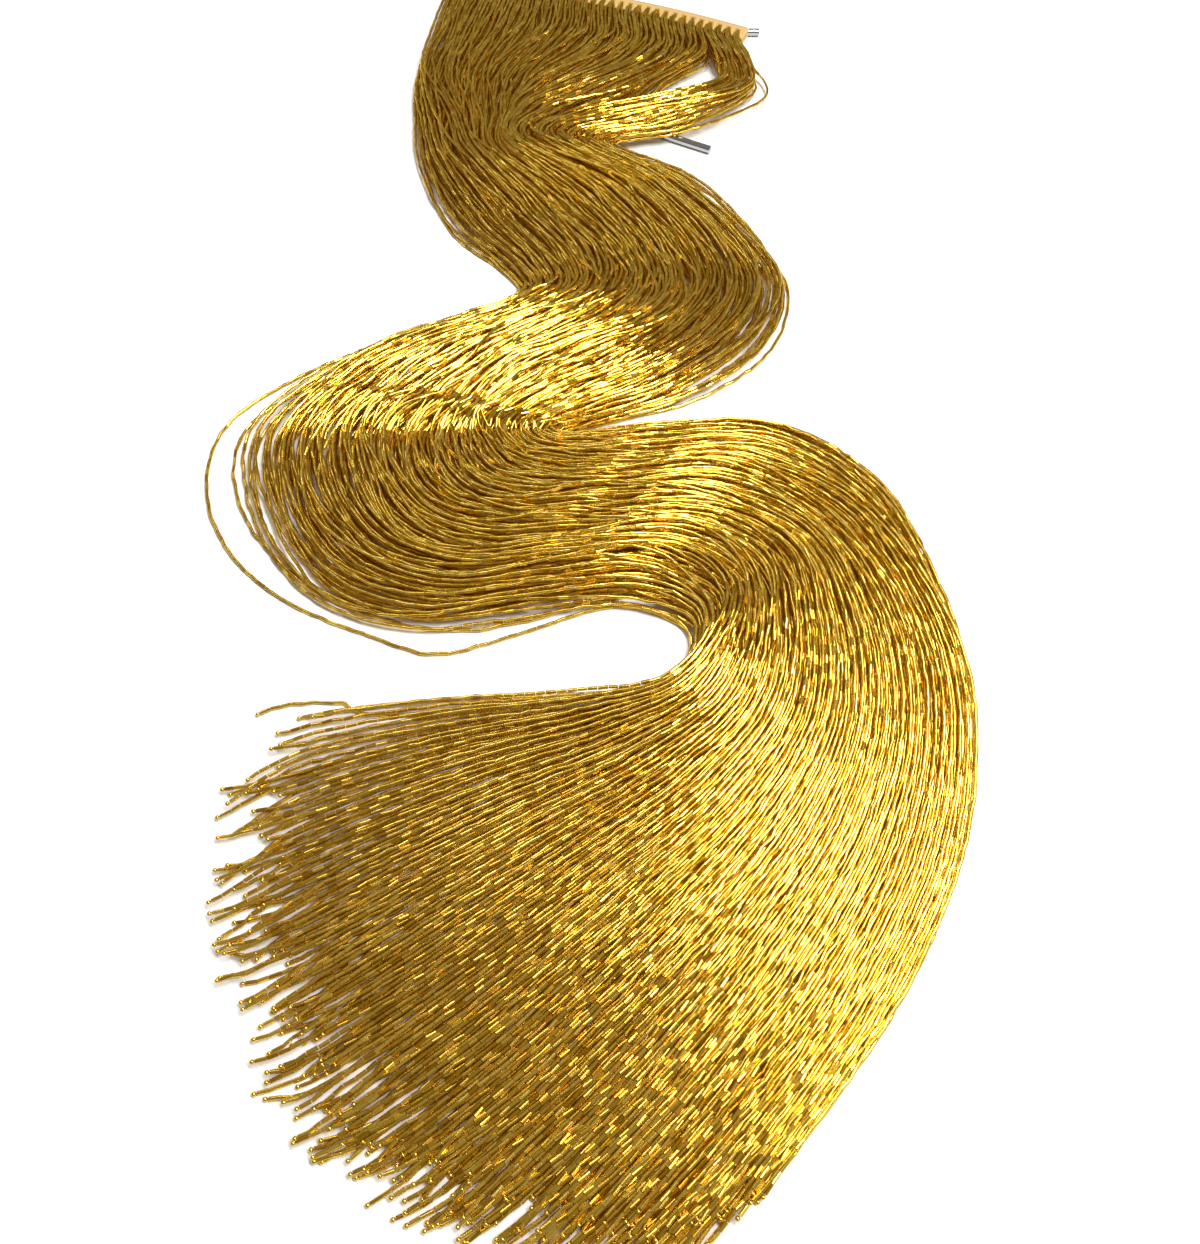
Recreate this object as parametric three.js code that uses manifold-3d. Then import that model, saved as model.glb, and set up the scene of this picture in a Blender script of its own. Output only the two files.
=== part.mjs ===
// Beaded fringe trim: long strands of gold glass bugle beads, sewn to a heading tape that is
// folded back and forth on a steel rod. The fringe is laid on a table in three bends and ends in
// a wide fan of uneven tips. A second steel rod lies under the strands, near the heading.
// Millimetres, +Z up. The origin is on the table, under the middle of the laid trim, the heading
// lies towards +Y and the tips towards -Y.

import * as THREE from 'three';
import { mergeVertices } from 'three/addons/utils/BufferGeometryUtils.js';
import Module from 'manifold-3d';

// Driving sizes

const BUNDLE_AREA = 1700; // cross-section of all the strands together, air between them included
const TAPE = { width: 13, thick: 1.2, layers: 4, gap: 1.0, steps: 14, foldSteps: 4 };
const STRIP = { depth: 3, steps: 16, overhang: 0.015 };
const PART_GAP = 0.4; // between the tape and the root strips
const LAYER_GAP = 1.0; // between the two layers of locks
const ROOT_GAP = 0.8; // between their root strips
const LIFT = { height: 5.6, flat: 18, fall: 24 }; // how far the trim is held up over a rod
const ROD = { diameter: 5, chamfer: 0.4, sides: 16 };
const TIP = { narrow: 0.7, lower: 0.7, clump: 0.2, clumpSize: 3, clumpFrom: 2 };

// The tables below are drawn from a point on the table that lies this far from the middle.
const DRAWN_FROM = { x: 6.42, y: 8.70 };

const RODS = table(['name', 'x1', 'y1', 'x2', 'y2'], [
  ['rod_upper', -4, 347, 126.5, 347],
  ['rod_lower', -31, 275, 85, 217],
]);

// Each rib crosses the bundle from its left edge to its right edge, as one follows the strands
// from the heading to the tips. bow is how far the middle of a rib runs ahead of its ends, and
// drift is the share of the width by which the middle strands lie nearer to the right edge.
const RIBS = table(['place', 'leftX', 'leftY', 'rightX', 'rightY', 'bow', 'drift'], [
  ['root', -101, 386, 109, 322, -9, 0],
  ['fall', -108, 350, 116, 300, -6, -0.01],
  ['hang', -113, 315, 117, 279, -4, -0.05],
  ['gather', -116, 284, 101, 251, -1, -0.09],
  ['squeeze', -114, 254, 72, 229, 0, -0.1],
  ['neck', -107, 202, 27, 216, 0, -0.05],
  ['spread', -82, 142, 77, 182, 0, 0],
  ['first bend in', -49, 105, 114, 127, 0, -0.02],
  ['first bend', -37, 86, 125, 88, 0, -0.06],
  ['first bend out', -45, 80, 108, 39, 0, -0.07],
  ['first run', -74, 66, 63, 0, 0, -0.04],
  ['first run end', -116, 46, 23, -15, 0, 0.02],
  ['second bend in', -161, 12, -1, -22, 0, 0.09],
  ['second bend', -184, -27, -3, -23, 0, 0.08],
  ['second bend low', -171, -84, -1, -24, 0, 0.07],
  ['second bend out', -134, -130, 6, -23, 0, 0.05],
  ['second run', -80, -149, 24, -19, 0, 0.02],
  ['second run end', -28, -143, 62, -13, 0, 0],
  ['third bend in', 25, -135, 118, -17, 0, 0],
  ['third bend', 54, -146, 165, -60, 0, 0],
  ['third bend low', 56, -159, 184, -124, 0, 0],
  ['third bend out', 43, -177, 187, -197, 4, 0.02],
  ['sweep', 0, -182, 173, -260, 22, 0.06],
  ['fan', -60, -183, 144, -314, 44, 0.1],
  ['fan end', -108, -187, 113, -354, 70, 0.12],
  ['tips', -140, -193, 75, -395, 98, 0.13],
]);
const LAST_RIB = RIBS.length - 1;
const STEPS = 32; // along each lock
const FAN_SQUARENESS = 0.7; // 1 would bow the fan's ribs as a parabola

// Two layers of locks lie on each other. from and to say which share of the bundle's width a
// layer covers, floor and crown where its locks lie in the height of the bundle.
const LAYERS = table(['name', 'count', 'from', 'to', 'floor', 'crown', 'rag'], [
  ['bead_fringe_lower', 34, 0, 1, 0, 0.55, 0.2],
  ['bead_fringe_upper', 24, 0.13, 0.87, 0.55, 1.25, 0.16],
]);
const LOCK_FILL = 0.42; // half of a lock's width, as a share of the spacing of the locks

// Loose strands at the two edges, which swing out of the bundle. lock counts from the edge,
// at and span are in ribs, and reach is in millimetres.
const LOOPS = table(['edge', 'lock', 'at', 'span', 'reach'], [
  ['left', 0, 13.6, 1.5, 22],
  ['left', 1, 13.3, 1.2, 11],
  ['left', 0, 16.6, 0.9, 15],
  ['left', 1, 16.9, 0.7, 7],
  ['left', 0, 24.2, 0.7, 16],
  ['right', 0, 2.0, 1.1, 14],
  ['right', 1, 2.1, 1.0, 7],
  ['right', 0, 20.6, 1.0, 5],
]);
const STRAY = { locks: 2, width: 2.6, rise: 2.6 };

const GOLD_BEADS = new THREE.MeshStandardMaterial({ color: 0xb8923a, metalness: 0.6, roughness: 0.3 });
const GOLD_TAPE = new THREE.MeshStandardMaterial({ color: 0xe6bd62, metalness: 0, roughness: 0.85 });
const STEEL = new THREE.MeshStandardMaterial({ color: 0xc9c9cc, metalness: 1, roughness: 0.2 });

function table(columns, rows) {
  return rows.map((row) => Object.fromEntries(columns.map((column, i) => [column, row[i]])));
}

// The course of the bundle

// A smooth curve through one pair of columns of the rib table, read at a rib number that may
// lie between two ribs or a little past the last one.
function columnCurve(xColumn, yColumn) {
  const points = RIBS.map((rib) => new THREE.Vector3(rib[xColumn], rib[yColumn], 0));
  const curve = new THREE.CatmullRomCurve3(points, false, 'centripetal');
  return (rib) => {
    if (rib <= LAST_RIB) {
      return curve.getPoint(Math.max(rib, 0) / LAST_RIB);
    }
    const end = curve.getPoint(1);
    const before = curve.getPoint((LAST_RIB - 0.1) / LAST_RIB);
    return end.clone().add(end.clone().sub(before).multiplyScalar((rib - LAST_RIB) * 10));
  };
}

const leftEdge = columnCurve('leftX', 'leftY');
const rightEdge = columnCurve('rightX', 'rightY');

// A plain column of the rib table, read at a rib number.
function columnAt(column, rib) {
  const low = Math.min(Math.max(Math.floor(rib), 0), LAST_RIB - 1);
  return THREE.MathUtils.lerp(RIBS[low][column], RIBS[low + 1][column], rib - low);
}

// The point at a rib number and a share of the width: 0 at the left edge, 1 at the right edge,
// and past those outside the bundle. The ribs of the heading are bowed as a plain arc, and the
// ribs of the fan more squarely.
function across(rib, evenShare) {
  const share = evenShare + columnAt('drift', rib) * Math.max(4 * evenShare * (1 - evenShare), 0);
  const left = leftEdge(rib);
  const chord = rightEdge(rib).sub(left);
  const ahead = new THREE.Vector3(chord.y, -chord.x, 0).normalize();
  const bow = columnAt('bow', rib);
  const arc = 4 * share * (1 - share);
  const bulge = bow > 0 ? bow * Math.max(arc, 0) ** FAN_SQUARENESS : bow * arc;
  return left.addScaledVector(chord, share).addScaledVector(ahead, bulge);
}

// The bundle's width, measured square to the strands.
function bundleWidth(rib) {
  const span = 0.2;
  const at = THREE.MathUtils.clamp(rib, span, LAST_RIB - span);
  const chord = rightEdge(at).sub(leftEdge(at));
  const flow = across(at + span, 0.5).sub(across(at - span, 0.5)).normalize();
  return Math.abs(chord.x * flow.y - chord.y * flow.x);
}

function bundleHeight(rib) {
  return BUNDLE_AREA / bundleWidth(rib);
}

// How far the table-side of the trim is held up by the nearest rod.
function lift(point) {
  let most = 0;
  for (const rod of RODS) {
    const axis = new THREE.Line3(new THREE.Vector3(rod.x1, rod.y1, 0), new THREE.Vector3(rod.x2, rod.y2, 0));
    const flat = new THREE.Vector3(point.x, point.y, 0);
    const reach = axis.closestPointToPoint(flat, true, new THREE.Vector3()).distanceTo(flat);
    const near = 1 - (reach - LIFT.flat) / LIFT.fall;
    most = Math.max(most, LIFT.height * THREE.MathUtils.smoothstep(near, 0, 1));
  }
  return most;
}

// Solids

// A closed bar of a few sides, bent so that corner(number, step) gives each corner's place.
// The corners run anticlockwise for someone whom the bar runs towards.
function bentBar(sides, steps, corner) {
  const bar = new THREE.CylinderGeometry(1, 1, steps, sides, steps);
  bar.deleteAttribute('normal');
  bar.deleteAttribute('uv');
  const place = bar.attributes.position;
  for (let i = 0; i < place.count; i += 1) {
    const step = Math.round(place.getY(i) + steps / 2);
    const onAxis = Math.hypot(place.getX(i), place.getZ(i)) < 0.5;
    const turn = Math.atan2(place.getX(i), place.getZ(i)) / (2 * Math.PI);
    const point = new THREE.Vector3();
    if (onAxis) {
      for (let n = 0; n < sides; n += 1) {
        point.addScaledVector(corner(n, step), 1 / sides);
      }
    } else {
      point.copy(corner((Math.round(turn * sides) + sides) % sides, step));
    }
    place.setXYZ(i, point.x, point.y, point.z);
  }
  return mergeVertices(bar, 1e-4);
}

const wasm = await Module();
wasm.setup();

function toSolid(geometry) {
  return new wasm.Manifold(new wasm.Mesh({
    numProp: 3,
    vertProperties: new Float32Array(geometry.attributes.position.array),
    triVerts: new Uint32Array(geometry.index.array),
  }));
}

function toGeometry(solid) {
  const mesh = solid.getMesh();
  const geometry = new THREE.BufferGeometry();
  geometry.setAttribute('position', new THREE.BufferAttribute(mesh.vertProperties, 3));
  geometry.setIndex(new THREE.BufferAttribute(mesh.triVerts, 1));
  return geometry;
}

// The share of the width by which an edge lock swings out at a rib.
function loopSwing(edge, lock, rib) {
  let swing = 0;
  for (const loop of LOOPS) {
    if (loop.edge === edge && loop.lock === lock) {
      swing += loop.reach * Math.exp(-(((rib - loop.at) / loop.span) ** 2));
    }
  }
  return swing / bundleWidth(rib);
}

// Where the tips of three neighbours draw together, everything is scaled about their middle.
function clumped(share, lock, layer, rib) {
  const spacing = (layer.to - layer.from) / layer.count;
  const middleLock = (Math.floor(lock / TIP.clumpSize) + 0.5) * TIP.clumpSize;
  const middle = layer.from + middleLock * spacing;
  const draw = TIP.clump * THREE.MathUtils.smoothstep(rib, LAST_RIB - TIP.clumpFrom, LAST_RIB);
  return middle + (share - middle) * (1 - draw);
}

// One lock of strands: flat underneath, with a ridge along its back, and a narrow low tip.
function lock(layer, number) {
  const spacing = (layer.to - layer.from) / layer.count;
  const middle = layer.from + (number + 0.5) * spacing;
  const fromRight = layer.count - 1 - number;
  const atFloor = layer.floor === 0;
  const stray = atFloor && Math.min(number, fromRight) < STRAY.locks;
  const ragged = Math.sin(number * 2.4 + layer.count) + 0.5 * Math.sin(number * 5.3);
  const archOver = 1 - 0.35 * Math.abs(2 * middle - 1) ** 2.5;

  return bentBar(3, STEPS, (corner, step) => {
    const atTip = step === STEPS;
    const rib = LAST_RIB * (step / STEPS) + (atTip ? layer.rag * ragged : 0);
    const tip = atTip ? TIP : { narrow: 1, lower: 1 };
    let half = spacing * LOCK_FILL;
    if (stray) {
      half = Math.min(half, STRAY.width / 2 / bundleWidth(rib));
    }
    const side = [-1, 1, 0][corner];
    let share = clumped(middle + side * half * tip.narrow, number, layer, rib);
    if (atFloor) {
      share -= loopSwing('left', number, rib);
      share += loopSwing('right', fromRight, rib);
    }
    const point = across(rib, share);
    const tall = bundleHeight(rib);
    const floor = layer.floor * tall + (atFloor ? 0 : LAYER_GAP);
    const rise = (layer.crown * tall - floor) * archOver;
    const ridge = (stray ? Math.min(STRAY.rise, rise) : rise) * tip.lower;
    point.z = lift(point) + floor + (corner === 2 ? ridge : 0);
    return point;
  });
}

// The line on which the strands are sewn, and places in front of it or behind it.
function behindRoot(share, back) {
  const here = across(0, share);
  const along = across(0, share + 0.01).sub(across(0, share - 0.01)).normalize();
  return here.addScaledVector(new THREE.Vector3(-along.y, along.x, 0), back);
}

// The narrow strip that holds the roots of one layer of locks.
function rootStrip(layer) {
  const tall = bundleHeight(0);
  const low = layer.floor === 0 ? 0 : layer.floor * tall + ROOT_GAP;
  const high = layer.crown * tall;
  const from = layer.from - STRIP.overhang;
  const to = layer.to + STRIP.overhang;
  return bentBar(4, STRIP.steps, (corner, step) => {
    const share = THREE.MathUtils.lerp(from, to, step / STRIP.steps);
    const back = [-0.5, 0.5, 0.5, -0.5][corner] * STRIP.depth;
    const point = behindRoot(share, back);
    point.z = lift(point) + [low, low, high, high][corner];
    return point;
  });
}

function fringe(layer) {
  let solid = toSolid(rootStrip(layer));
  for (let number = 0; number < layer.count; number += 1) {
    solid = solid.add(toSolid(lock(layer, number)));
  }
  return toGeometry(solid);
}

// The heading tape, folded back and forth in layers that lie a little apart. The course of the
// tape is a list of places along the root line, with their height and the way the tape heads
// there: 0 to the right, half a turn to the left.
function tapeCourse(length) {
  const pitch = TAPE.thick + TAPE.gap;
  const course = [];
  for (let layer = 0; layer < TAPE.layers; layer += 1) {
    const toRight = layer % 2 === 0;
    const height = layer * pitch + TAPE.thick / 2;
    for (let i = 0; i <= TAPE.steps; i += 1) {
      const share = i / TAPE.steps;
      course.push({ along: length * (toRight ? share : 1 - share), height, heading: toRight ? 0 : Math.PI });
    }
    const foldPoints = layer + 1 < TAPE.layers ? TAPE.foldSteps - 1 : 0;
    for (let i = 1; i <= foldPoints; i += 1) {
      const turned = Math.PI * (i / TAPE.foldSteps);
      const out = Math.sin(turned) * (pitch / 2);
      course.push({
        along: toRight ? length + out : -out,
        height: height + (1 - Math.cos(turned)) * (pitch / 2),
        heading: toRight ? turned : Math.PI - turned,
      });
    }
  }
  return course;
}

function headingTape() {
  const length = across(0, 0).distanceTo(across(0, 1));
  const course = tapeCourse(length);
  const front = STRIP.depth / 2 + PART_GAP;
  return bentBar(4, course.length - 1, (corner, step) => {
    const { along, height, heading } = course[step];
    const side = [-0.5, -0.5, 0.5, 0.5][corner] * TAPE.thick;
    const back = front + [0, 1, 1, 0][corner] * TAPE.width;
    const point = behindRoot((along - side * Math.sin(heading)) / length, back);
    point.z = lift(point) + height + side * Math.cos(heading);
    return point;
  });
}

// A round steel rod with small chamfers at its ends, lying on the table.
function rod({ x1, y1, x2, y2 }) {
  const from = new THREE.Vector3(x1, y1, ROD.diameter / 2);
  const to = new THREE.Vector3(x2, y2, ROD.diameter / 2);
  const length = from.distanceTo(to);
  const radius = ROD.diameter / 2;
  const profile = [
    [0, 0],
    [radius - ROD.chamfer, 0],
    [radius, ROD.chamfer],
    [radius, length - ROD.chamfer],
    [radius - ROD.chamfer, length],
    [0, length],
  ].map(([x, y]) => new THREE.Vector2(x, y));
  const bar = new THREE.LatheGeometry(profile, ROD.sides);
  bar.deleteAttribute('normal');
  bar.deleteAttribute('uv');
  const mesh = new THREE.Mesh(mergeVertices(bar, 1e-4), STEEL);
  mesh.position.copy(from);
  mesh.quaternion.setFromUnitVectors(new THREE.Vector3(0, 1, 0), to.clone().sub(from).normalize());
  return mesh;
}

// The whole trim

const trim = new THREE.Group();
trim.position.set(DRAWN_FROM.x, DRAWN_FROM.y, 0);

function addPiece(name, mesh) {
  mesh.name = name;
  trim.add(mesh);
}

for (const layer of LAYERS) {
  addPiece(layer.name, new THREE.Mesh(fringe(layer), GOLD_BEADS));
}
addPiece('heading_tape', new THREE.Mesh(headingTape(), GOLD_TAPE));
for (const row of RODS) {
  addPiece(row.name, rod(row));
}

export default trim;
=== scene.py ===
# %% [markdown]
# # A beaded fringe trim, laid on a table
#
# The real trim is a woven ribbon with about three hundred long strands of gold glass bugle
# beads sewn along its lower edge. The ribbon is folded back and forth, the strands are laid
# in three loose bends, and their tips spread into a fan. Two polished steel rods lie under it.
#
# This lesson strings every bead. It first repeats the course of the bundle, as the part's
# source has it, then lays strands along that course, threads beads on them, sews them to the
# ribbon and finishes the rods. Everything is in metres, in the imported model's own frame.

import math

import bmesh
import bpy
import numpy as np
from mathutils import Matrix, Vector


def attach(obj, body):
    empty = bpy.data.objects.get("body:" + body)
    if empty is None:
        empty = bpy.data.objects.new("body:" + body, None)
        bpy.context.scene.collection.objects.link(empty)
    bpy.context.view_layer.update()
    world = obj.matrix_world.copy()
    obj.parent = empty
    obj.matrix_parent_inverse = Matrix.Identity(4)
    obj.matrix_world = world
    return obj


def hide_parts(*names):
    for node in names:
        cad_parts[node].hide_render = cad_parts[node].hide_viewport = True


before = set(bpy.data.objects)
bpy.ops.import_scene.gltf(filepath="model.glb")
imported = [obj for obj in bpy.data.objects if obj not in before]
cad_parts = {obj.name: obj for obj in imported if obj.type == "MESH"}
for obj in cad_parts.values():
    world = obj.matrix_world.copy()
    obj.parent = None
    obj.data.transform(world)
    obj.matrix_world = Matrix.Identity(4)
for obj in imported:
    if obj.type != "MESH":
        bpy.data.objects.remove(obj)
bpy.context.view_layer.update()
print("nodes:", sorted(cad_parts))

# %% [markdown]
# ## The camera
#
# The photograph looks down on the table at 60 degrees from about half a metre away. Its focal
# length is 1100 pixels on a picture 1200 pixels wide, which is a 33 mm lens on a 36 mm sensor.

# %% Set up the camera
MM = 0.001
PHOTO_WIDTH = 1200
FOCAL_PIXELS = 1100
SENSOR_WIDTH = 36.0
CAMERA_ELEVATION = math.radians(60)
CAMERA_DISTANCE = 0.55
DRAWN_FROM = np.array([6.42, 8.70])
LOOK_ASIDE = 12
LOOK_NEARER = 142
LOOK_AT = Vector((DRAWN_FROM[0] + LOOK_ASIDE, DRAWN_FROM[1] - LOOK_NEARER, 0)) * MM

camera_data = bpy.data.cameras.new("camera")
camera_data.sensor_fit = "HORIZONTAL"
camera_data.sensor_width = SENSOR_WIDTH
camera_data.lens = SENSOR_WIDTH * FOCAL_PIXELS / PHOTO_WIDTH
camera = bpy.data.objects.new("camera", camera_data)
bpy.context.scene.collection.objects.link(camera)
towards_camera = Vector((0, -math.cos(CAMERA_ELEVATION), math.sin(CAMERA_ELEVATION)))
camera.location = LOOK_AT + towards_camera * CAMERA_DISTANCE
camera.rotation_euler = (-towards_camera).to_track_quat("-Z", "Y").to_euler()
bpy.context.scene.camera = camera
print("lens:", camera_data.lens, "mm, camera at", [round(x, 3) for x in camera.location])

# %% [markdown]
# ## The course of the bundle
#
# A fringe this long has no shape of its own: it lies as it was laid. So its course is drawn
# once, as ribs that cross the bundle from its left edge to its right edge, and every strand
# follows it at its own share of the width. These are the part's own sizes, in millimetres,
# drawn from a point that lies a little off the middle of the trim.

# %% Repeat the ribs of the part
BUNDLE_AREA = 1700
FAN_SQUARENESS = 0.7
# leftX, leftY, rightX, rightY, bow, drift
RIBS = {
    "root": (-101, 386, 109, 322, -9, 0),
    "fall": (-108, 350, 116, 300, -6, -0.01),
    "hang": (-113, 315, 117, 279, -4, -0.05),
    "gather": (-116, 284, 101, 251, -1, -0.09),
    "squeeze": (-114, 254, 72, 229, 0, -0.1),
    "neck": (-107, 202, 27, 216, 0, -0.05),
    "spread": (-82, 142, 77, 182, 0, 0),
    "first bend in": (-49, 105, 114, 127, 0, -0.02),
    "first bend": (-37, 86, 125, 88, 0, -0.06),
    "first bend out": (-45, 80, 108, 39, 0, -0.07),
    "first run": (-74, 66, 63, 0, 0, -0.04),
    "first run end": (-116, 46, 23, -15, 0, 0.02),
    "second bend in": (-161, 12, -1, -22, 0, 0.09),
    "second bend": (-184, -27, -3, -23, 0, 0.08),
    "second bend low": (-171, -84, -1, -24, 0, 0.07),
    "second bend out": (-134, -130, 6, -23, 0, 0.05),
    "second run": (-80, -149, 24, -19, 0, 0.02),
    "second run end": (-28, -143, 62, -13, 0, 0),
    "third bend in": (25, -135, 118, -17, 0, 0),
    "third bend": (54, -146, 165, -60, 0, 0),
    "third bend low": (56, -159, 184, -124, 0, 0),
    "third bend out": (43, -177, 187, -197, 4, 0.02),
    "sweep": (0, -182, 173, -260, 22, 0.06),
    "fan": (-60, -183, 144, -314, 44, 0.1),
    "fan end": (-108, -187, 113, -354, 70, 0.12),
    "tips": (-140, -193, 75, -395, 98, 0.13),
}
RIB_TABLE = np.array(list(RIBS.values()), float)
LAST_RIB = len(RIB_TABLE) - 1
# How far before and after a rib the direction of the strands is read, in ribs
FLOW_REACH = 0.2


def edge_at(points, rib):
    """A smooth centripetal curve through points, read at rib numbers, straight past its ends."""
    inside = np.clip(rib, 0, LAST_RIB - 1e-6)
    low = np.floor(inside).astype(int)
    part = (inside - low)[..., None]
    padded = np.vstack([2 * points[0] - points[1], points, 2 * points[-1] - points[-2]])
    p0, p1, p2, p3 = (padded[low + k] for k in range(4))
    d0, d1, d2 = (
        np.sqrt(np.linalg.norm(b - a, axis=-1, keepdims=True)) for a, b in ((p0, p1), (p1, p2), (p2, p3))
    )
    t1 = d1 * ((p1 - p0) / d0 - (p2 - p0) / (d0 + d1) + (p2 - p1) / d1)
    t2 = d1 * ((p2 - p1) / d1 - (p3 - p1) / (d1 + d2) + (p3 - p2) / d2)
    square, cube = part**2, part**3
    on_curve = p1 + t1 * part + (3 * (p2 - p1) - 2 * t1 - t2) * square + (2 * (p1 - p2) + t1 + t2) * cube
    past = np.maximum(rib - LAST_RIB, 0)[..., None]
    return on_curve + past * t2 * (past > 0)


def across(rib, even_share):
    """The place at a rib number and a share of the width: 0 at the left edge, 1 at the right."""
    drift = np.interp(rib, np.arange(LAST_RIB + 1), RIB_TABLE[:, 5])
    share = even_share + drift * np.maximum(4 * even_share * (1 - even_share), 0)
    left = edge_at(RIB_TABLE[:, 0:2], rib)
    chord = edge_at(RIB_TABLE[:, 2:4], rib) - left
    length = np.linalg.norm(chord, axis=-1)
    ahead = np.stack([chord[..., 1], -chord[..., 0]], -1) / length[..., None]
    bow = np.interp(rib, np.arange(LAST_RIB + 1), RIB_TABLE[:, 4])
    arc = 4 * share * (1 - share)
    bulge = np.where(bow > 0, bow * np.maximum(arc, 0) ** FAN_SQUARENESS, bow * arc)
    return left + chord * share[..., None] + ahead * bulge[..., None]


def bundle_width(rib):
    """The width measured square to the strands."""
    at = np.clip(rib, FLOW_REACH, LAST_RIB - FLOW_REACH)
    chord = edge_at(RIB_TABLE[:, 2:4], at) - edge_at(RIB_TABLE[:, 0:2], at)
    half = np.full_like(at, 0.5)
    flow = across(at + FLOW_REACH, half) - across(at - FLOW_REACH, half)
    flow /= np.linalg.norm(flow, axis=-1, keepdims=True)
    return np.abs(chord[..., 0] * flow[..., 1] - chord[..., 1] * flow[..., 0])


rib_numbers = np.arange(LAST_RIB + 1.0)
print("width in mm at each rib:", bundle_width(rib_numbers).round().astype(int).tolist())

# %% [markdown]
# ## How high the trim lies
#
# Where a rod lies under the trim, the strands and the ribbon ride over it. The height there is
# a smooth bump round the line of each rod, so the strands sag gently between the two rods.

# %% Lift the trim over the rods
LIFT = {"height": 5.6, "flat": 18, "fall": 100}
# x1, y1, x2, y2
RODS = {"rod_upper": (-4, 347, 126.5, 347), "rod_lower": (-31, 275, 85, 217)}


def smooth(x):
    x = np.clip(x, 0, 1)
    return x * x * (3 - 2 * x)


def lift(place):
    """How far the underside of the trim is held up at a place, by the nearest rod."""
    most = np.zeros(place.shape[:-1])
    for x1, y1, x2, y2 in RODS.values():
        start, run = np.array([x1, y1]), np.array([x2 - x1, y2 - y1])
        along = np.clip(((place - start) @ run) / (run @ run), 0, 1)
        reach = np.linalg.norm(place - start - along[..., None] * run, axis=-1)
        most = np.maximum(most, LIFT["height"] * smooth(1 - (reach - LIFT["flat"]) / LIFT["fall"]))
    return most


# %% [markdown]
# ## Strands
#
# Each strand is a nylon thread full of bugle beads, so it bends only at the joints between
# beads. The strands lie over each other in eight beds. The upper beds are narrower, which
# gives the bundle its crown. Neighbours wander together, as hair does, and each strand has a
# small wander of its own. At the tips they splay and end unevenly.

# %% Lay the strands
TAPE_LAYERS = 4
TAPE_PITCH = 2.2
TAPE_THICK = 1.2
BEAD_PITCH = 5.0
BEAD_THICK = 2.0
TIP_BEAD = 2.3
KINK = [0.22, 0.22, 0.14]
CROWN = 1.25
STATIONS = 620
STRANDS = 37
# margin at each edge as a share of the width, sides of a bead
BEDS = [(0.0, 4), (0.005, 4), (0.015, 4), (0.035, 5), (0.06, 5), (0.10, 5), (0.16, 5), (0.24, 5)]
SEED = 7
chance = np.random.default_rng(SEED)
# How far strands wander sideways, in mm: with their neighbours, on their own, as strays
SHARED_WANDER = 2.4
OWN_WANDER = 1.9
STRAY_WANDER = 5.0
# How far tips are moved sideways, in mm: at random, and in waves
TIP_SCATTER = 6.0
TIP_WANDER = 2.0
# How far strands wander up and down, in mm, and how much higher a stray lies
SHARED_RISE = 0.5
OWN_RISE = 0.35
STRAY_RISE = 1.2
# Waves, in radians per rib: the quickest of a strand's wander, of its tip and of its height
OWN_WAVES = 2.8
TIP_WAVES = 3.4
RISE_WAVES = 2.6
OWN_WAVE_COUNT = 3
SLOWEST_WAVE = 0.6
SLOWEST_FIELD = 0.35
FIELD_SLANT = 9
# Lengths in ribs over which things come in, from the heading down
WANDER_STARTS = 1.2
SEWN_ENDS = 2.4
MARGIN_STARTS = 2
MARGIN_GROWS = 3
# Lengths in ribs over which things come in, before the tips
COMBED_FROM = 7
COMBED_GROWS = 3
SETTLED_FROM = 4
TIP_FROM = 0.7
TIP_GROWS = 1.4
PAST_TIPS = 0.6
# Shares that are lost: of the wander in the fan, of the wander at an edge, of the height at the tips
COMBED_CALM = 0.9
EDGE_CALM = 0.8
TIP_SETTLED = 0.4
# Where the edge begins, as a share of the way from the middle of the bundle
EDGE_FROM = 0.9
# Steps of the bit of strand that is sewn on the ribbon, and where it ends behind the root line
HEAD_STEPS = 8
HEAD_END = 0.2
# Places along a strand in mm: where its first bead starts, and where its last one ends, short of
# the course's end by a fixed length and by a random one
FIRST_JOINT = 1.5
TIP_SHORT = 24
TIP_UNEVEN = (-17, 14)
# How much the tint of a strand and of a bead strays from the middle
STRAND_TINT = 0.15
BEAD_TINT = 0.24
# The tint of all tip beads, where 0 is the darkest and 1 the palest
TIP_TINT = 0.6


def wave_field(count, quickest):
    """Sums of slow waves over share and rib: the same everywhere, so neighbours move alike."""
    waves = [
        (
            chance.uniform(-FIELD_SLANT, FIELD_SLANT),
            chance.uniform(SLOWEST_FIELD, quickest),
            chance.uniform(0, 2 * math.pi),
        )
        for _ in range(count)
    ]
    return lambda share, rib: sum(np.sin(a * share + b * rib + c) for a, b, c in waves) / count**0.5


common_wander = wave_field(7, 1.9)
height_wander = wave_field(6, 1.6)


def own_wander(rib, reach, quickest):
    """One strand's own sum of a few slow waves along its length."""
    phase = chance.uniform(0, 2 * math.pi, OWN_WAVE_COUNT)
    pace = chance.uniform(SLOWEST_WAVE, quickest, OWN_WAVE_COUNT)
    waves = sum(np.sin(pace[k] * rib + phase[k]) for k in range(OWN_WAVE_COUNT))
    return reach * waves / OWN_WAVE_COUNT**0.5


# edge, strand, rib, span in ribs, reach in mm
LOOPS = [
    ("left", 0, 13.6, 1.5, 20),
    ("left", 1, 13.3, 1.2, 10),
    ("left", 0, 16.6, 0.9, 14),
    ("left", 1, 16.9, 0.7, 7),
    ("left", 0, 25.2, 1.0, 13),
    ("right", 0, 2.0, 1.1, 12),
    ("right", 1, 2.1, 1.0, 6),
    ("right", 0, 20.6, 1.0, 5),
]
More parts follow.
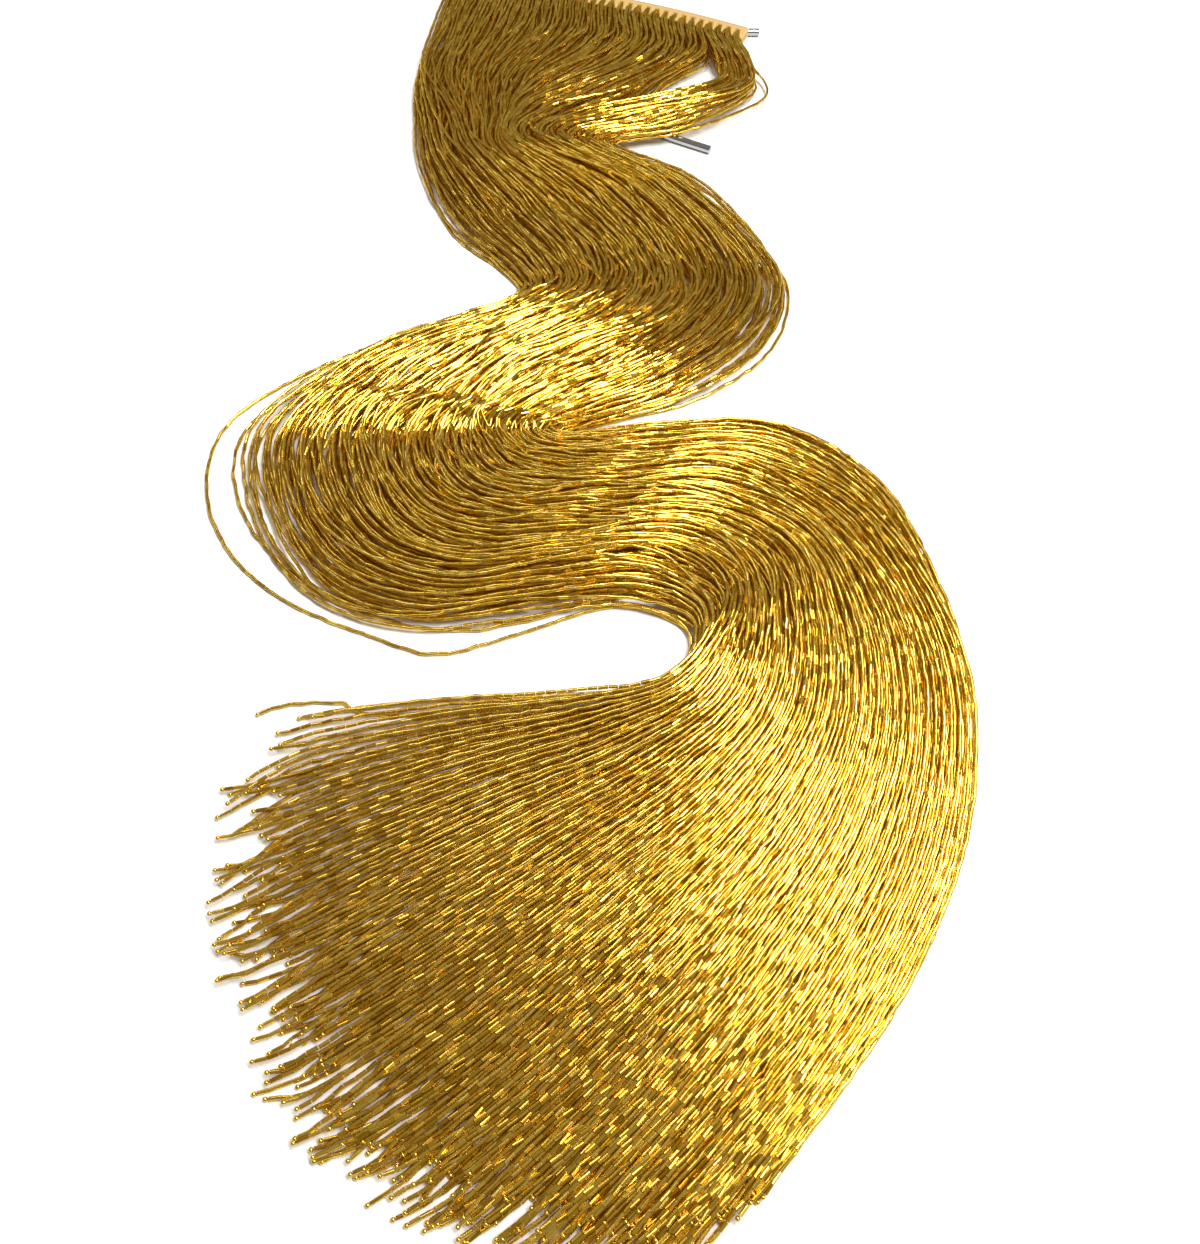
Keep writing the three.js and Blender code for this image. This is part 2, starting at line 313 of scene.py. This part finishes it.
# Openings in the strands near the heading
# share, rib, span in ribs, push to the left in mm and its reach, push to the right and its reach
PARTINGS = [
    (0.88, 2.2, 0.95, 18, 0.15, 8, 0.1),
    (0.74, 1.5, 0.5, 2, 0.08, 2, 0.08),
    (0.6, 2.4, 0.5, 1.5, 0.08, 1.5, 0.08),
]
STITCHES = 33
STITCH_BACK = 8.4
HIDDEN_START = 2.6
TOP_OF_TAPE = (TAPE_LAYERS - 1) * TAPE_PITCH + TAPE_THICK
TOP_BED = 5
STRAY_CHANCE = 0.14
GOLDEN_SHARE = 0.618
# The strands right of the middle run straight from the heading to the neck
LEAN = {"share": 0.7, "half_share": 0.22, "rib": 3.9, "span": 1.4, "reach": 17}


def behind_root(share, back):
    """Places behind the line on which the strands are sewn."""
    zero = np.zeros_like(share)
    along = across(zero, share + 0.01) - across(zero, share - 0.01)
    along /= np.linalg.norm(along, axis=-1, keepdims=True)
    square = np.stack([-along[..., 1], along[..., 0]], -1)
    return across(zero, share) + square * np.asarray(back)[..., None]


def swing(bed, number, rib):
    """How far a loose strand at an edge swings out, in mm towards the right."""
    out = np.zeros_like(rib)
    for edge, strand, at, span, reach in LOOPS:
        nth = number if edge == "left" else STRANDS - 1 - number
        if bed == 0 and nth == strand:
            out = out + (-reach if edge == "left" else reach) * np.exp(-(((rib - at) / span) ** 2))
    return out


def parted(start, rib):
    """How far a strand is pushed aside near the heading."""
    out = -LEAN["reach"] * np.exp(-(((rib - LEAN["rib"]) / LEAN["span"]) ** 2))
    out = out * math.exp(-(((start - LEAN["share"]) / LEAN["half_share"]) ** 2))
    for share, at, span, left, left_reach, right, right_reach in PARTINGS:
        push, reach = (-left, left_reach) if start < share else (right, right_reach)
        fade = math.exp(-abs(start - share) / reach)
        out = out + push * fade * np.exp(-(((rib - at) / span) ** 2))
    return out


def strand_course(bed, number):
    """One strand's stations in mm, from its root to past its tip."""
    margin = BEDS[bed][0]
    rib = np.linspace(0, LAST_RIB + PAST_TIPS, STATIONS)
    width = bundle_width(rib)
    start = (number + (0.5 + GOLDEN_SHARE * bed) % 1) / STRANDS
    settled = smooth((rib - (LAST_RIB - SETTLED_FROM)) / SETTLED_FROM)
    combed = smooth((rib - LAST_RIB + COMBED_FROM) / COMBED_GROWS)
    narrow = 1 - 2 * margin * smooth((rib - MARGIN_STARTS) / MARGIN_GROWS) * (1 - combed)
    stitch = (math.floor(start * STITCHES) + 0.5) / STITCHES
    share = 0.5 + (start - 0.5) * narrow
    stray = bed >= TOP_BED and chance.random() < STRAY_CHANCE
    moved = SHARED_WANDER * common_wander(start, rib)
    moved = moved + own_wander(rib, STRAY_WANDER if stray else OWN_WANDER, OWN_WAVES)
    at_tip = smooth((rib - LAST_RIB + TIP_FROM) / TIP_GROWS)
    scattered = chance.normal(0, TIP_SCATTER) + own_wander(rib, TIP_WANDER, TIP_WAVES)
    moved = moved * (1 - COMBED_CALM * combed) + at_tip * scattered
    moved = moved * smooth(rib / WANDER_STARTS) + parted(start, rib) + swing(bed, number, rib)
    inward = 1 - smooth((np.abs(2 * share - 1) - EDGE_FROM) / (1 - EDGE_FROM)) * EDGE_CALM
    place = across(rib, share + np.where(bed == 0, 1, inward) * moved / width)
    tall = BUNDLE_AREA / width
    rank = bed / (len(BEDS) - 1)
    spread = CROWN * tall - BEAD_THICK
    laid = BEAD_THICK / 2 + rank * spread + rank**0.5 * SHARED_RISE * height_wander(start, rib)
    laid = laid + own_wander(rib, OWN_RISE, RISE_WAVES) + (STRAY_RISE if stray else 0)
    on_top = bed >= TOP_BED
    sewn = TOP_OF_TAPE + BEAD_THICK / 2 if on_top else bed // 2 * TAPE_PITCH + TAPE_THICK / 2
    height = laid + (sewn - laid) * (1 - smooth(rib / SEWN_ENDS))
    height = BEAD_THICK / 2 + (height - BEAD_THICK / 2) * (1 - TIP_SETTLED * settled)
    course = np.column_stack([place, np.maximum(height, BEAD_THICK / 2)])
    back = np.linspace(STITCH_BACK if on_top else HIDDEN_START, HEAD_END, HEAD_STEPS)
    gathered = stitch + (start - stitch) * (1 - on_top * back / STITCH_BACK)
    head = behind_root(gathered, back)
    course = np.vstack([np.column_stack([head, np.full_like(back, sewn)]), course])
    course[:, 2] += lift(course[:, :2])
    course[:, :2] += DRAWN_FROM
    return course


def bead_joints(course):
    """Places at even steps along a strand, with the small kinks of real joints."""
    steps = np.linalg.norm(np.diff(course, axis=0), axis=1)
    run = np.concatenate([[0], np.cumsum(steps)])
    uneven = chance.uniform(*TIP_UNEVEN)
    length = run[-1] - TIP_SHORT + uneven
    joints = np.arange(FIRST_JOINT, length, BEAD_PITCH)
    places = np.column_stack([np.interp(joints, run, course[:, k]) for k in range(3)])
    places = places + chance.normal(0, 1, places.shape) * KINK
    lowest = np.full(len(places), BEAD_THICK / 2)
    lowest[-1] = TIP_BEAD / 2
    places[:, 2] = np.maximum(places[:, 2], lowest)
    return places


# %% [markdown]
# ## Beads
#
# A bugle bead is a cut length of glass tube. One bead is made with Blender's own cone
# operator, and that one shape is then set down on every bit of every strand. All the beads of
# a bed are joined in one mesh, because sixty thousand objects would be too many to handle.

# %% Thread the beads
BEAD_LENGTH = 4.75
UPPER_BED = 4


def bead_shape(sides):
    shape = bmesh.new()
    bmesh.ops.create_cone(
        shape,
        cap_ends=True,
        segments=sides,
        radius1=BEAD_THICK / 2 * MM,
        radius2=BEAD_THICK / 2 * MM,
        depth=1.0,
    )
    shape.verts.ensure_lookup_table()
    corners = np.array([v.co for v in shape.verts])
    faces = [[v.index for v in face.verts] for face in shape.faces]
    caps = [abs(face.normal.z) > 0.5 for face in shape.faces]
    shape.free()
    return corners, faces, caps


def frames_of(starts, ends, turn):
    """Three axes for each bead, across, across and along, which are left-handed, and its length."""
    along = ends - starts
    length = np.linalg.norm(along, axis=1, keepdims=True)
    along = along / length
    side = np.cross(along, [0, 0, 1.0])
    side /= np.linalg.norm(side, axis=1, keepdims=True)
    up = np.cross(side, along)
    c, s = np.cos(turn)[:, None], np.sin(turn)[:, None]
    return side * c + up * s, up * c - side * s, along, length


def join_copies(name, shape, starts, ends, tint, shrink=1.0, sharp_rims=True):
    """One mesh with a copy of shape from each start to its end, and a tint for each copy."""
    corners, faces, caps = shape
    turn = chance.uniform(0, 2 * math.pi, len(starts))
    x_axis, y_axis, z_axis, length = frames_of(starts, ends, turn)
    middle = (starts + ends) / 2
    where = (
        middle[:, None]
        + x_axis[:, None] * corners[None, :, 0:1]
        + y_axis[:, None] * corners[None, :, 1:2]
        + (z_axis * length * shrink)[:, None] * corners[None, :, 2:3]
    )
    copies, points = len(starts), len(corners)
    sizes = np.tile([len(face) for face in faces], copies)
    # Left-handed axes turn a face over, so each one is listed backwards and points out
    pattern = np.concatenate([face[::-1] for face in faces])
    loops = (np.arange(copies)[:, None] * points + pattern[None]).ravel()
    mesh = bpy.data.meshes.new(name)
    mesh.vertices.add(copies * points)
    mesh.vertices.foreach_set("co", where.astype(np.float32).ravel())
    mesh.loops.add(len(loops))
    mesh.loops.foreach_set("vertex_index", loops.astype(np.int32))
    mesh.polygons.add(len(sizes))
    mesh.polygons.foreach_set("loop_start", (np.cumsum(sizes) - sizes).astype(np.int32))
    mesh.polygons.foreach_set("use_smooth", ~np.tile(caps, copies))
    mesh.update(calc_edges=True)
    edges = np.empty(len(mesh.edges) * 2, np.int32)
    mesh.edges.foreach_get("vertices", edges)
    end_of = np.sign(corners[edges.reshape(-1, 2) % points, 2])
    mesh.edges.foreach_set("use_edge_sharp", (end_of[:, 0] == end_of[:, 1]) & sharp_rims)
    mesh.attributes.new("tint", "FLOAT", "POINT")
    mesh.attributes["tint"].data.foreach_set("value", np.repeat(tint, points).astype(np.float32))
    piece = bpy.data.objects.new(name, mesh)
    bpy.context.scene.collection.objects.link(piece)
    return piece


def node_of(bed):
    return "bead_fringe_upper" if bed >= UPPER_BED else "bead_fringe_lower"


bead_shapes = {sides: bead_shape(sides) for sides in (4, 5)}
bead_pieces = []
tips = {"bead_fringe_lower": [], "bead_fringe_upper": []}
bead_count = 0
for bed, (_, sides) in enumerate(BEDS):
    starts, ends, tints = [], [], []
    for number in range(STRANDS):
        joints = bead_joints(strand_course(bed, number)) * MM
        tips[node_of(bed)].append(joints[-2:])
        starts.append(joints[:-1])
        ends.append(joints[1:])
        strand_tint = chance.uniform(-STRAND_TINT, STRAND_TINT)
        bead_tints = chance.normal(0, BEAD_TINT, len(joints) - 1)
        tints.append(np.clip(0.5 + strand_tint + bead_tints, 0, 1))
    starts, ends, tints = np.concatenate(starts), np.concatenate(ends), np.concatenate(tints)
    shrink = BEAD_LENGTH / BEAD_PITCH
    piece = join_copies(f"beads_bed_{bed}", bead_shapes[sides], starts, ends, tints, shrink)
    bead_pieces.append(piece)
    bead_count += len(starts)
    print(piece.name, len(starts), "beads", len(piece.data.polygons), "faces")
print("beads in all:", bead_count)

# %% [markdown]
# ## The glass
#
# The beads are silver-lined: clear gold glass over a mirror-like hole. Light goes through the
# glass twice and comes back golden, and the outside of the glass gives white glints. A
# metallic surface with a clear coat does the same without tracing light through the glass.
# A faint amber glow on the glass is painted light: it stands in for light that shines through
# neighbouring beads.

# %% Make the gold glass
def new_material(name):
    material = bpy.data.materials.new(name)
    material.use_nodes = True
    return material, material.node_tree.nodes["Principled BSDF"]


glass, shader = new_material("gold_glass")
shader.inputs["Metallic"].default_value = 0.93
shader.inputs["Roughness"].default_value = 0.17
shader.inputs["Specular Tint"].default_value = (1, 0.72, 0.12, 1)
# Painted light: a faint amber glow that stands in for light shining through neighbouring beads
shader.inputs["Emission Color"].default_value = (0.55, 0.2, 0.0, 1)
shader.inputs["Emission Strength"].default_value = 0.03
shader.inputs["Coat Weight"].default_value = 0.45
shader.inputs["Coat Roughness"].default_value = 0.08
nodes, links = glass.node_tree.nodes, glass.node_tree.links
tint = nodes.new("ShaderNodeAttribute")
tint.attribute_name = "tint"
ramp = nodes.new("ShaderNodeValToRGB")
ramp.color_ramp.elements[0].color = (0.50, 0.275, 0.004, 1)
ramp.color_ramp.elements[1].color = (0.95, 0.69, 0.12, 1)
links.new(tint.outputs["Fac"], ramp.inputs["Fac"])
links.new(ramp.outputs["Color"], shader.inputs["Base Color"])


def finish_piece(piece, material, slot, *stands_for):
    """Puts a finish on a piece, hangs it on the root body and hides the imported nodes it stands for."""
    piece.data.materials.append(material)
    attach(piece, "root")
    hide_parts(*stands_for)


for bed, piece in enumerate(bead_pieces):
    finish_piece(piece, glass, "glass_beads", node_of(bed))

# %% [markdown]
# ## Tip beads
#
# Each thread is tied off round one small round bead, which keeps the bugles from sliding off.
# It is a plain sphere of a few faces, joined in the same way as the bugles. The sphere operator
# lists its faces in another order each time, so they are put in order first.

# %% Tie off the strands
def in_fixed_order(corners, faces):
    """The same corners and faces, listed alike on every run, each face still turned the same way."""
    order = sorted(range(len(corners)), key=lambda k: tuple(corners[k].round(6)))
    new_number = {old: new for new, old in enumerate(order)}
    renumbered = [[new_number[k] for k in face] for face in faces]
    lowest_first = [face[face.index(min(face)) :] + face[: face.index(min(face))] for face in renumbered]
    return corners[order], sorted(lowest_first)


def round_bead():
    shape = bmesh.new()
    bmesh.ops.create_uvsphere(shape, u_segments=6, v_segments=4, radius=0.5)
    shape.verts.index_update()
    plain_corners = np.array([v.co for v in shape.verts])
    plain_faces = [[v.index for v in face.verts] for face in shape.faces]
    shape.free()
    corners, faces = in_fixed_order(plain_corners, plain_faces)
    return corners * [TIP_BEAD * MM, TIP_BEAD * MM, 1], faces, [False] * len(faces)


for node, ends_of_strands in tips.items():
    last = np.array(ends_of_strands)
    ahead = last[:, 1] - last[:, 0]
    ahead /= np.linalg.norm(ahead, axis=1, keepdims=True)
    starts = last[:, 1]
    piece = join_copies(
        node.replace("bead_fringe", "tip_beads"),
        round_bead(),
        starts,
        starts + ahead * TIP_BEAD * MM,
        np.full(len(starts), TIP_TINT),
        sharp_rims=False,
    )
    finish_piece(piece, glass, "glass_beads", node)
    print(piece.name, len(starts), "beads")

# %% [markdown]
# ## The ribbon
#
# The heading is a narrow woven ribbon. It is made as a flat grid, one row of faces for each
# bit of its length, and the grid is laid along the folded course. A Solidify modifier gives
# it its thickness. The weave is a fine bump that follows the ribbon's own UV map.

# %% Fold the ribbon
TAPE_WIDTH = 13.0
TAPE_FRONT = 1.9
TAPE_STEPS = 40
FOLD_STEPS = 8
TAPE_COLUMNS = 6
left_root, right_root = across(np.zeros(2), np.array([0.0, 1.0]))
root_length = float(np.linalg.norm(right_root - left_root))


def folded_course(length):
    """Distance along the root line and height of each step of the folded ribbon, in mm."""
    course = []
    for layer in range(TAPE_LAYERS):
        to_right = layer % 2 == 0
        height = layer * TAPE_PITCH + TAPE_THICK / 2
        for i in range(TAPE_STEPS + 1):
            share = i / TAPE_STEPS
            course.append((length * (share if to_right else 1 - share), height))
        for i in range(1, FOLD_STEPS if layer + 1 < TAPE_LAYERS else 1):
            turned = math.pi * i / FOLD_STEPS
            out = math.sin(turned) * TAPE_PITCH / 2
            risen = (1 - math.cos(turned)) * TAPE_PITCH / 2
            course.append((length + out if to_right else -out, height + risen))
    return np.array(course)


ribbon_course = folded_course(root_length)
rows = len(ribbon_course)
shape = bmesh.new()
bmesh.ops.create_grid(shape, x_segments=rows - 1, y_segments=TAPE_COLUMNS, size=1.0)
uv_layer = shape.loops.layers.uv.new("cloth")
lengths = np.linalg.norm(np.diff(ribbon_course, axis=0), axis=1)
run = np.concatenate([[0], np.cumsum(lengths)])
print("ribbon length in m:", round(run[-1] * MM, 3))
for face in shape.faces:
    for loop in face.loops:
        step = round((loop.vert.co.x + 1) / 2 * (rows - 1))
        loop[uv_layer].uv = (run[step] * MM, (loop.vert.co.y + 1) / 2 * TAPE_WIDTH * MM)
for vert in shape.verts:
    step = round((vert.co.x + 1) / 2 * (rows - 1))
    back = TAPE_FRONT + (1 - (vert.co.y + 1) / 2) * TAPE_WIDTH
    along, height = ribbon_course[step]
    place = behind_root(np.array([along / root_length]), np.array([back]))[0]
    height += float(lift(place[None])[0])
    vert.co = Vector((place[0] + DRAWN_FROM[0], place[1] + DRAWN_FROM[1], height)) * MM
ribbon_mesh = bpy.data.meshes.new("ribbon")
shape.to_mesh(ribbon_mesh)
shape.free()
for polygon in ribbon_mesh.polygons:
    polygon.use_smooth = True
ribbon = bpy.data.objects.new("ribbon", ribbon_mesh)
bpy.context.scene.collection.objects.link(ribbon)
thickness = ribbon.modifiers.new("thickness", "SOLIDIFY")
thickness.thickness = TAPE_THICK * MM
thickness.offset = 0.0

# %% Weave the ribbon
RIBS_PER_METRE = 900.0
cloth, shader = new_material("gold_ribbon")
shader.inputs["Base Color"].default_value = (0.60, 0.38, 0.12, 1)
shader.inputs["Roughness"].default_value = 0.62
shader.inputs["Sheen Weight"].default_value = 0.3
nodes, links = cloth.node_tree.nodes, cloth.node_tree.links
uv = nodes.new("ShaderNodeUVMap")
uv.uv_map = "cloth"
threads = nodes.new("ShaderNodeTexWave")
threads.inputs["Scale"].default_value = RIBS_PER_METRE / 3
threads.inputs["Distortion"].default_value = 0.6
bump = nodes.new("ShaderNodeBump")
bump.inputs["Strength"].default_value = 0.5
bump.inputs["Distance"].default_value = 0.0002
links.new(uv.outputs["UV"], threads.inputs["Vector"])
links.new(threads.outputs["Fac"], bump.inputs["Height"])
links.new(bump.outputs["Normal"], shader.inputs["Normal"])
finish_piece(ribbon, cloth, "heading_ribbon", "heading_tape")

# %% [markdown]
# ## Sewing
#
# The strands of the top beds hang over the face of the ribbon in small groups, and each group
# is caught by a few turns of thread. The turns are short six-sided bars, joined in one mesh.

# %% Sew the strands on
THREAD = 0.45
TURNS = 3
FIRST_TURN = 0.9
TURN_PITCH = 0.55
TURN_REACH = 1.5
TURN_GROWS = 0.25
ABOVE_BEADS = 0.1
stitch_starts, stitch_ends = [], []
for stitch in range(STITCHES):
    share = (stitch + 0.5) / STITCHES
    for turn in range(TURNS):
        back = STITCH_BACK - FIRST_TURN - TURN_PITCH * turn
        reach = (TURN_REACH + TURN_GROWS * turn) / root_length
        ends = behind_root(np.array([share - reach, share + reach]), np.array([back, back]))
        heights = TOP_OF_TAPE + BEAD_THICK + ABOVE_BEADS + lift(ends)
        ends = np.column_stack([ends + DRAWN_FROM, heights]) * MM
        stitch_starts.append(ends[0])
        stitch_ends.append(ends[1])
corners, faces, caps = bead_shape(6)
thread_shape = (corners * [THREAD / BEAD_THICK, THREAD / BEAD_THICK, 1], faces, caps)
stitch_starts, stitch_ends = np.array(stitch_starts), np.array(stitch_ends)
sewing = join_copies("sewing", thread_shape, stitch_starts, stitch_ends, np.ones(len(stitch_ends)))
thread_gold, shader = new_material("gold_thread")
shader.inputs["Base Color"].default_value = (0.55, 0.33, 0.07, 1)
shader.inputs["Roughness"].default_value = 0.5
finish_piece(sewing, thread_gold, "heading_ribbon", "heading_tape")

# %% [markdown]
# ## Rods
#
# The two rods are plain ground steel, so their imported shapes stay. They only get a polished
# finish with faint marks of grinding round them.

# %% Polish the rods
steel, shader = new_material("polished_steel")
shader.inputs["Base Color"].default_value = (0.45, 0.44, 0.45, 1)
shader.inputs["Metallic"].default_value = 1.0
shader.inputs["Roughness"].default_value = 0.2
nodes, links = steel.node_tree.nodes, steel.node_tree.links
own_place = nodes.new("ShaderNodeTexCoord")
marks = nodes.new("ShaderNodeTexNoise")
marks.inputs["Scale"].default_value = 900.0
bump = nodes.new("ShaderNodeBump")
bump.inputs["Strength"].default_value = 0.15
bump.inputs["Distance"].default_value = 0.00005
links.new(own_place.outputs["Object"], marks.inputs["Vector"])
links.new(marks.outputs["Fac"], bump.inputs["Height"])
links.new(bump.outputs["Normal"], shader.inputs["Normal"])
for name in RODS:
    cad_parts[name].material_slots[0].material = steel

# %% [markdown]
# ## Floor and light
#
# The photograph has a plain white table, one strong light overhead and a little to the right,
# and white walls all round. A long narrow softbox gives every bead that lies square to it a
# bright line, which draws the light and dark bands across the bundle. A faint second strip adds
# thin lines in the dark bands.

# %% Place the floor and the lights
floor_mesh = bpy.data.meshes.new("floor")
floor_shape = bmesh.new()
bmesh.ops.create_grid(floor_shape, x_segments=1, y_segments=1, size=4.0)
floor_shape.to_mesh(floor_mesh)
floor_shape.free()
floor = bpy.data.objects.new("floor", floor_mesh)
bpy.context.scene.collection.objects.link(floor)
white, shader = new_material("pale_floor")
shader.inputs["Base Color"].default_value = (0.92, 0.915, 0.90, 1)
shader.inputs["Roughness"].default_value = 0.9
floor_mesh.materials.append(white)


def softbox(name, direction, distance, long_way, size, power):
    """A rectangular studio light that faces the middle of the trim."""
    data = bpy.data.lights.new(name, "AREA")
    data.shape = "RECTANGLE"
    data.size, data.size_y = size
    data.energy = power
    light = bpy.data.objects.new(name, data)
    aim = Vector(direction).normalized()
    across_aim = (Vector(long_way) - Vector(long_way).dot(aim) * aim).normalized()
    turned = Matrix((across_aim, aim.cross(across_aim), aim)).transposed().to_4x4()
    light.matrix_world = Matrix.Translation(aim * distance) @ turned
    bpy.context.scene.collection.objects.link(light)


softbox("key", (0.4, 0.01, 0.95), 1.8, (0.63, -0.77, 0), (1.6, 0.45), 48)
softbox("fill", (-0.2, 0.3, 0.95), 1.8, (0.6, -0.8, 0), (1.4, 0.14), 4.5)
world = bpy.data.worlds.new("studio")
world.use_nodes = True
world.node_tree.nodes["Background"].inputs["Color"].default_value = (1, 0.98, 0.95, 1)
world.node_tree.nodes["Background"].inputs["Strength"].default_value = 0.24
bpy.context.scene.world = world
bpy.context.scene.view_settings.view_transform = "Standard"
